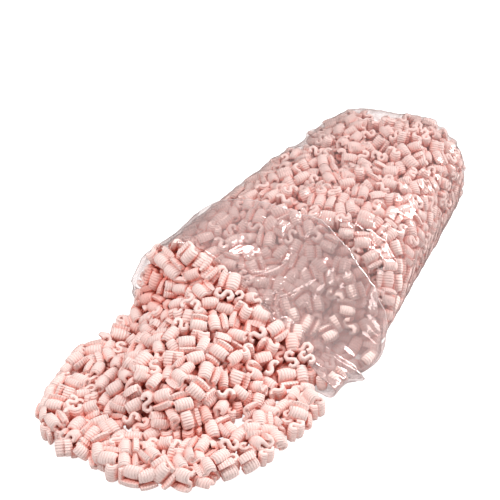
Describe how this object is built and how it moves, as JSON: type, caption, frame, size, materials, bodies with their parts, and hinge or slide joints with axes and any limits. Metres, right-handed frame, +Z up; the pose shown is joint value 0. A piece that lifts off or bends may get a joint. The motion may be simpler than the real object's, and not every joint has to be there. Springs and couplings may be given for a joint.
{
  "type": "bag of packing peanuts",
  "caption": "Clear plastic film bag lying on its side with its mouth open, filled with S-shaped foam packing peanuts that spill out onto the floor in a low heap.",
  "frame": {"origin": "middle of the object's footprint, on the floor it lies on", "axes": "+Z up, +Y along the bag towards its closed end, -Y towards the open mouth and the spilled heap, +X to the right when looking along +Y"},
  "size_m": [0.3652, 0.7828, 0.1665],
  "materials": {
    "film": "clear soft film with a greyish haze where it is doubled or seen edge on",
    "foam": "pale pink closed-cell foam with fine lengthwise ribs"
  },
  "bodies": {
    "root": {"bag_film": "film", "bag_cuff": "film", "peanut_fill": "foam", "peanut_heap": "foam", "peanut_01": "foam", "peanut_02": "foam", "peanut_03": "foam", "peanut_04": "foam", "peanut_05": "foam", "peanut_06": "foam", "peanut_07": "foam", "peanut_08": "foam", "peanut_09": "foam", "peanut_10": "foam", "peanut_11": "foam", "peanut_12": "foam", "peanut_13": "foam", "peanut_14": "foam", "peanut_15": "foam", "peanut_16": "foam", "peanut_17": "foam", "peanut_18": "foam", "peanut_19": "foam", "peanut_20": "foam", "peanut_21": "foam", "peanut_22": "foam", "peanut_23": "foam", "peanut_24": "foam", "peanut_25": "foam", "peanut_26": "foam", "peanut_27": "foam", "peanut_28": "foam", "peanut_29": "foam", "peanut_30": "foam", "peanut_31": "foam", "peanut_32": "foam", "peanut_33": "foam", "peanut_34": "foam", "peanut_35": "foam", "peanut_36": "foam"}
  },
  "joints": []
}
